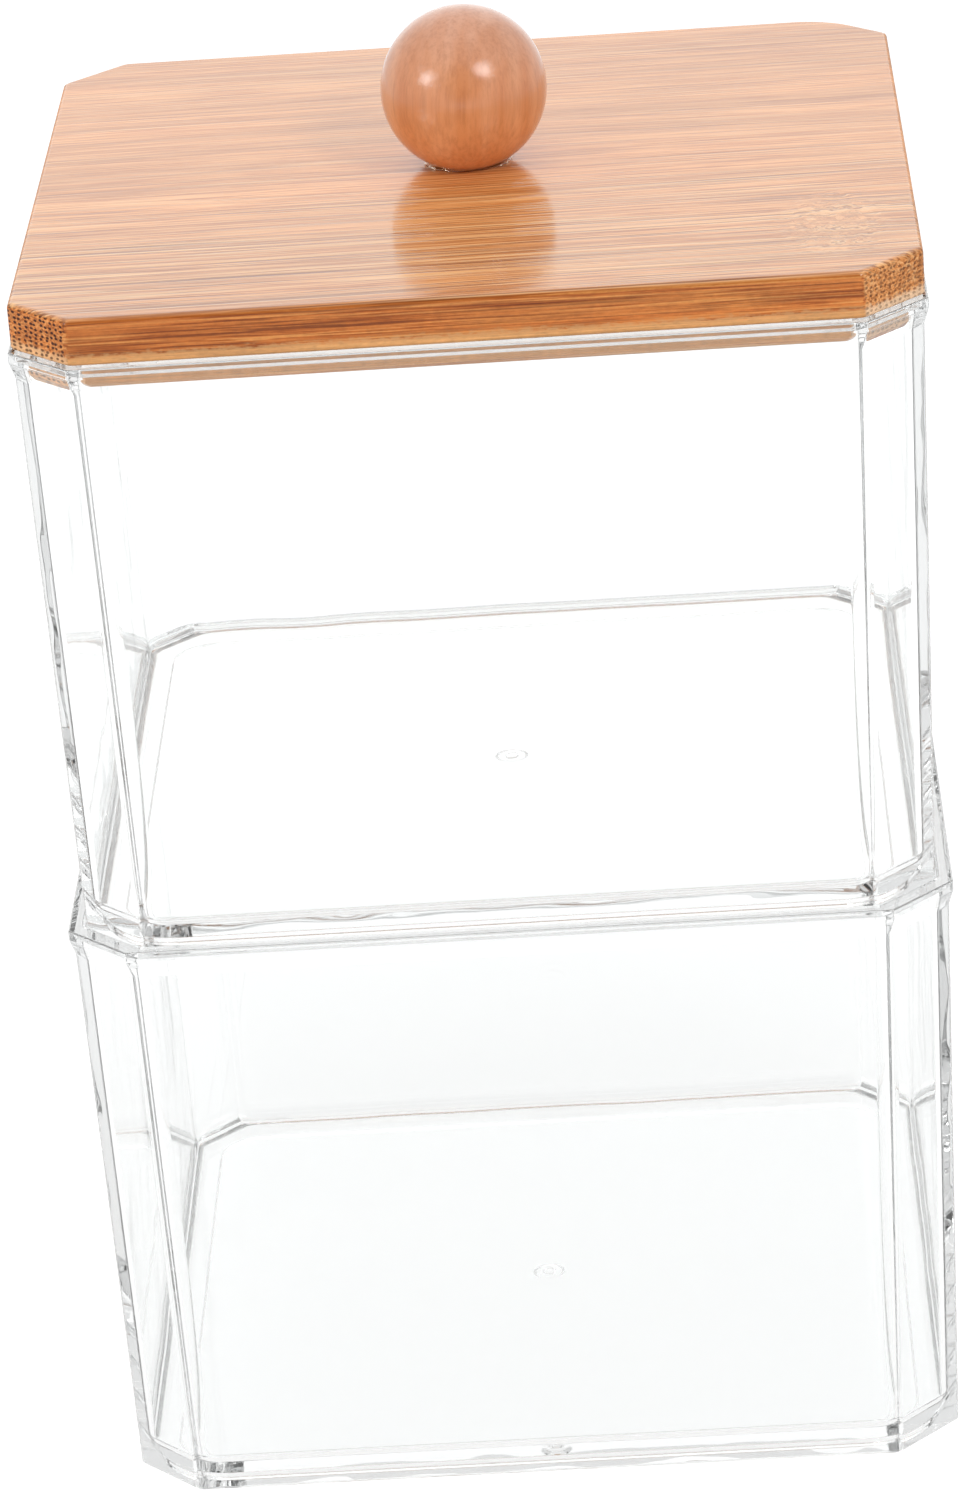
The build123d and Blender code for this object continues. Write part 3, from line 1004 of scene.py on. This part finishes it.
class PADHOLDER_OT_ball_knob(bpy.types.Operator):
    """Make the turned ball that stands on the lid by its flat foot"""

    bl_idname = "padholder.ball_knob"
    bl_label = "Ball knob"

    def execute(self, context):
        s = context.scene.pad_holder_knob
        ball, foot, stand = s.ball / 2, s.foot / 2, high("lid_board", 2)
        centre = stand + sqrt(ball**2 - foot**2)
        lowest = acos((stand - centre) / ball)
        rings = 56  # from the foot to the top
        points = [circle_point(0, stand + SEAT_GAP), circle_point(foot, stand + SEAT_GAP)]
        for i in range(1, rings + 1):
            angle = lowest * (1 - i / rings)
            points.append(circle_point(ball * sin(angle), centre + ball * cos(angle)))
        knob = swept("turned_ball", points, lacquered_ball_wood(s), edge_steps=11)
        fitted(knob, "lid", "knob")
        return {"FINISHED"}


class PADHOLDER_OT_glue_bead(bpy.types.Operator):
    """Make the lumpy ring of clear glue round the foot of the ball"""

    bl_idname = "padholder.glue_bead"
    bl_label = "Glue bead"

    def execute(self, context):
        s, stand = context.scene.pad_holder_knob, high("lid_board", 2)
        # shares of the glue's reach and rise at which an even bead would have its middle, and be thick
        middle_out, middle_up, thick, wander = 0.34, 0.15, 0.34, 0.5
        bead = with_nodes(
            "glue_ring", bpy.data.meshes.new("glue_ring"), bead_tree(),
            {
                "Path Radius": s.foot / 2 + middle_out * s.bead_reach,
                "Path Height": stand + middle_up * s.bead_rise,
                "Bead Radius": thick * s.bead_rise,
                "Wander": wander * s.bead_reach,
                "Lumps": 2.2,
                "Side Lumps": 2.2,
                "Seed": 4.0,
                "Finish": cured_glue(),
            },
        )
        # it has wet the board, so nothing of it is below the board's face
        for vertex in bead.data.vertices:
            vertex.co.z = max(vertex.co.z, stand + SEAT_GAP)
        fitted(bead, "lid", "glue_bead")
        return {"FINISHED"}


class PADHOLDER_OT_screw_finish(bpy.types.Operator):
    """Give the knob's screw its zinc plate; its CAD shape stays"""

    bl_idname = "padholder.screw_finish"
    bl_label = "Screw finish"

    def execute(self, context):
        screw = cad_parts["knob_screw"]
        finish = zinc_plate()
        if not screw.material_slots:
            screw.data.materials.append(finish)
        for slot in screw.material_slots:
            slot.material = finish
        return {"FINISHED"}


class PADHOLDER_OT_stage(bpy.types.Operator):
    """Make the white floor, the room light, the soft boxes and the camera"""

    bl_idname = "padholder.stage"
    bl_label = "Stage"

    def execute(self, context):
        s = context.scene.pad_holder_stage
        self.make_floor(context, s)
        self.make_room(context, s)
        self.make_lamps(context, s)
        self.make_camera(context)
        context.scene.view_settings.view_transform = "Standard"
        # light runs round inside the clear walls, turning back many times before it comes out
        for kind in ("max", "glossy", "transmission"):
            setattr(context.scene.cycles, kind + "_bounces", 64)
        return {"FINISHED"}

    def make_floor(self, context, s):
        drop = 0.03 * MM  # the floor lies this much under what stands on it
        sheet = bmesh.new()
        bmesh.ops.create_circle(sheet, cap_ends=True, segments=96, radius=s.floor_radius)
        mesh = bpy.data.meshes.new("studio_floor")
        sheet.to_mesh(mesh)
        sheet.free()
        mesh.transform(Matrix.Translation((0, 0, -drop)))
        mesh.materials.append(studio_floor())
        floor = bpy.data.objects.new("studio_floor", mesh)
        context.scene.collection.objects.link(floor)

    def make_room(self, context, s):
        """White to the camera. Reflections and clear plastic see it white too, with a dark opening in front
        and a hardly darker ceiling; everything else gets plain soft light."""
        opening_way, opening_dark, ceiling_dark, darkest = (0.03, -0.92, 0.39), 0.92, 0.04, 0.95
        world = bpy.data.worlds.new("studio_room")
        context.scene.world = world
        world.use_nodes = True
        tree = world.node_tree
        tree.nodes.clear()
        way = add(tree, PLACE).outputs["Generated"]
        # the opening is dark within 20 degrees of its middle and has faded out by 33
        ahead = add(tree, VECTOR, {0: way, 1: opening_way}, operation="DOT_PRODUCT")
        above = add(tree, SPLIT, {0: way}).outputs["Z"]
        opening, ceiling = [
            add(
                tree, RANGE, {"Value": source, "From Min": none_at, "From Max": all_at},
                interpolation_type="SMOOTHSTEP",
            )
            for source, none_at, all_at in ((ahead, 0.84, 0.94), (above, 0.02, 0.5))
        ]
        dark = add(tree, MATH, {0: ceiling, 1: ceiling_dark}, operation="MULTIPLY")
        dark = add(tree, MATH, {0: opening, 1: opening_dark, 2: dark}, operation="MULTIPLY_ADD")
        dark = add(tree, MATH, {0: dark, 1: darkest}, operation="MINIMUM")
        mirrored = add(tree, MATH, {0: 1.0, 1: dark}, operation="SUBTRACT")
        path = add(tree, RAYS).outputs
        bent = add(
            tree, MATH, {0: path["Is Glossy Ray"], 1: path["Is Transmission Ray"]}, operation="MAXIMUM"
        )
        soft = add(tree, MIX, {0: bent, NUMBER_A: s.room, NUMBER_B: mirrored}, data_type="FLOAT")
        shown = add(
            tree, MIX, {0: path["Is Camera Ray"], NUMBER_A: soft, NUMBER_B: 1.0}, data_type="FLOAT"
        )
        background = add(tree, "ShaderNodeBackground", {"Color": (1, 1, 1, 1), "Strength": shown})
        add(tree, "ShaderNodeOutputWorld", {"Surface": background})

    def make_lamps(self, context, s):
        """Two small square soft boxes in front, left and right, which give the ball its two highlights, a
        wide one overhead, and one behind, which lies as a pale sheen on the lacquered board."""
        target = Vector((0, 0, 0.12))
        for name, way, far, side, power in (
            ("soft_box_left", Vector((-0.7475, -0.5143, 0.4203)), 1.0, 0.2, 0.8 * s.lamp),
            ("soft_box_right", Vector((0.493, -0.6267, 0.6021)), 1.0, 0.2, 1.05 * s.lamp),
            ("soft_box_above", Vector((-0.1, 0.25, 1.0)), 1.3, 1.2, 1.6),
            ("soft_box_behind", Vector((0.0, 0.92, 0.39)), 1.3, 1.3, 2.0),
        ):
            light = bpy.data.lights.new(name, "AREA")
            light.shape, light.size, light.energy = "SQUARE", side, power
            lamp = bpy.data.objects.new(name, light)
            way = way.normalized()
            turn = way.to_track_quat("Z", "Y").to_matrix().to_4x4()
            lamp.matrix_world = Matrix.Translation(target + way * far) @ turn
            context.scene.collection.objects.link(lamp)

    def make_camera(self, context):
        """The photograph's camera, fitted to the corners of the boxes and of the lid and to the ball."""
        picture_tall, focal = 1500, 6043.65  # both in the photograph's pixels
        sensor = 36.0                        # mm
        turns = (("Z", -0.0581), ("Y", 0.0388), ("X", 1.9746))
        # where the camera sees the part's origin: to its right, down and ahead
        origin = Vector((7.9783, 62.4072, 710.0419)) * MM
        data = bpy.data.cameras.new("photo_camera")
        data.sensor_fit, data.sensor_height = "VERTICAL", sensor
        data.lens = focal / picture_tall * sensor
        turn = Matrix.Identity(3)
        for axis, angle in turns:
            turn = turn @ Matrix.Rotation(angle, 3, axis)
        right, down, ahead = turn
        place = Matrix.Translation(-(turn.transposed() @ origin))
        camera = bpy.data.objects.new("photo_camera", data)
        camera.matrix_world = place @ Matrix((right, -down, -ahead)).transposed().to_4x4()
        context.scene.collection.objects.link(camera)
        context.scene.camera = camera


class PADHOLDER_PT_pieces(bpy.types.Panel):
    """Lists the operators that make the holder"""

    bl_label = "Pad Holder"
    bl_idname = "PADHOLDER_PT_pieces"
    bl_space_type = "VIEW_3D"
    bl_region_type = "UI"
    bl_category = "Pad Holder"

    def draw(self, context):
        for kind in OPERATORS:
            self.layout.operator(kind.bl_idname)
        for name in GROUPS:
            group = getattr(context.scene, name)
            column = self.layout.column(heading=name.replace("_", " ").capitalize())
            for prop in group.bl_rna.properties:
                if prop.identifier not in ("rna_type", "name"):
                    column.prop(group, prop.identifier)


GROUPS = {
    "pad_holder_boxes": BoxSizes,
    "pad_holder_lid": LidSizes,
    "pad_holder_knob": KnobSizes,
    "pad_holder_stage": StageSettings,
}
OPERATORS = (
    PADHOLDER_OT_stage,
    PADHOLDER_OT_clear_boxes,
    PADHOLDER_OT_bamboo_lid,
    PADHOLDER_OT_ball_knob,
    PADHOLDER_OT_glue_bead,
    PADHOLDER_OT_screw_finish,
)


def register():
    for kind in (*GROUPS.values(), *OPERATORS, PADHOLDER_PT_pieces):
        bpy.utils.register_class(kind)
    for name, kind in GROUPS.items():
        setattr(bpy.types.Scene, name, bpy.props.PointerProperty(type=kind))


def unregister():
    for name in GROUPS:
        delattr(bpy.types.Scene, name)
    for kind in reversed((*GROUPS.values(), *OPERATORS, PADHOLDER_PT_pieces)):
        bpy.utils.unregister_class(kind)


def main():
    register()
    for kind in OPERATORS:
        group, name = kind.bl_idname.split(".")
        getattr(getattr(bpy.ops, group), name)()


if __name__ == "__main__":
    main()
